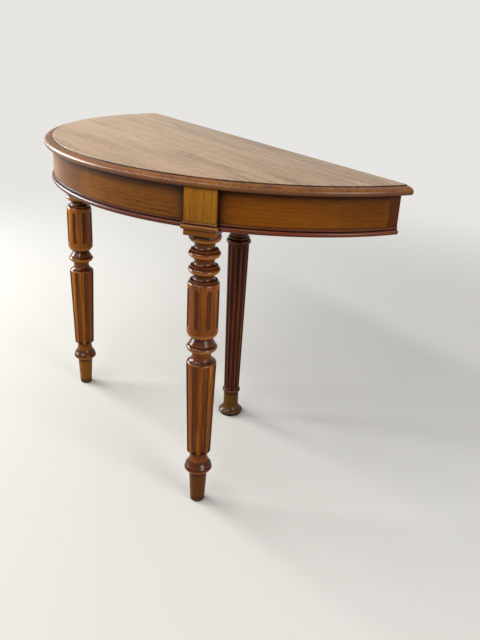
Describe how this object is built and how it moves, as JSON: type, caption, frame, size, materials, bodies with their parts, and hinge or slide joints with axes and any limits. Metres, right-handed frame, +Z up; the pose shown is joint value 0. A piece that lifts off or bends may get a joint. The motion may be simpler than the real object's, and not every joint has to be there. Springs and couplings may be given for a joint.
{
  "type": "demilune table",
  "caption": "Half-moon wooden console table with a moulded top, curved beaded apron, fluted turned front legs and a slender fluted back leg.",
  "frame": {"origin": "on the floor, under the middle of the top's outline", "axes": "+X along the straight back edge, to the right seen from the curved front; +Y towards the straight back edge and the wall; +Z up"},
  "size_m": [1.0954, 0.5, 0.75],
  "materials": {
    "top_wood": "faded, waxed, satin",
    "apron_wood": "waxed, satin",
    "facing_wood": "waxed, satin",
    "bead_wood": "waxed, satin",
    "leg_wood": "waxed, half gloss",
    "back_leg_wood": "dark stain, half gloss",
    "frame_wood": "planed, unfinished",
    "screw_steel": "dulled steel"
  },
  "bodies": {
    "root": {"top_back_board": "top_wood", "top_middle_board": "top_wood", "top_front_board": "top_wood", "apron_left": "apron_wood", "apron_centre": "apron_wood", "apron_right": "apron_wood", "back_rail": "apron_wood", "left_block_facing": "facing_wood", "right_block_facing": "facing_wood", "bead_left": "bead_wood", "bead_centre": "bead_wood", "bead_right": "bead_wood", "left_block_bead_front": "bead_wood", "left_block_bead_inner": "bead_wood", "left_block_bead_outer": "bead_wood", "right_block_bead_front": "bead_wood", "right_block_bead_inner": "bead_wood", "right_block_bead_outer": "bead_wood", "front_left_leg": "leg_wood", "front_right_leg": "leg_wood", "back_leg": "back_leg_wood", "cross_bearer": "frame_wood", "glue_blocks": "frame_wood", "left_corner_block": "frame_wood", "right_corner_block": "frame_wood", "top_screws": "screw_steel", "back_leg_screws": "screw_steel"}
  },
  "joints": []
}
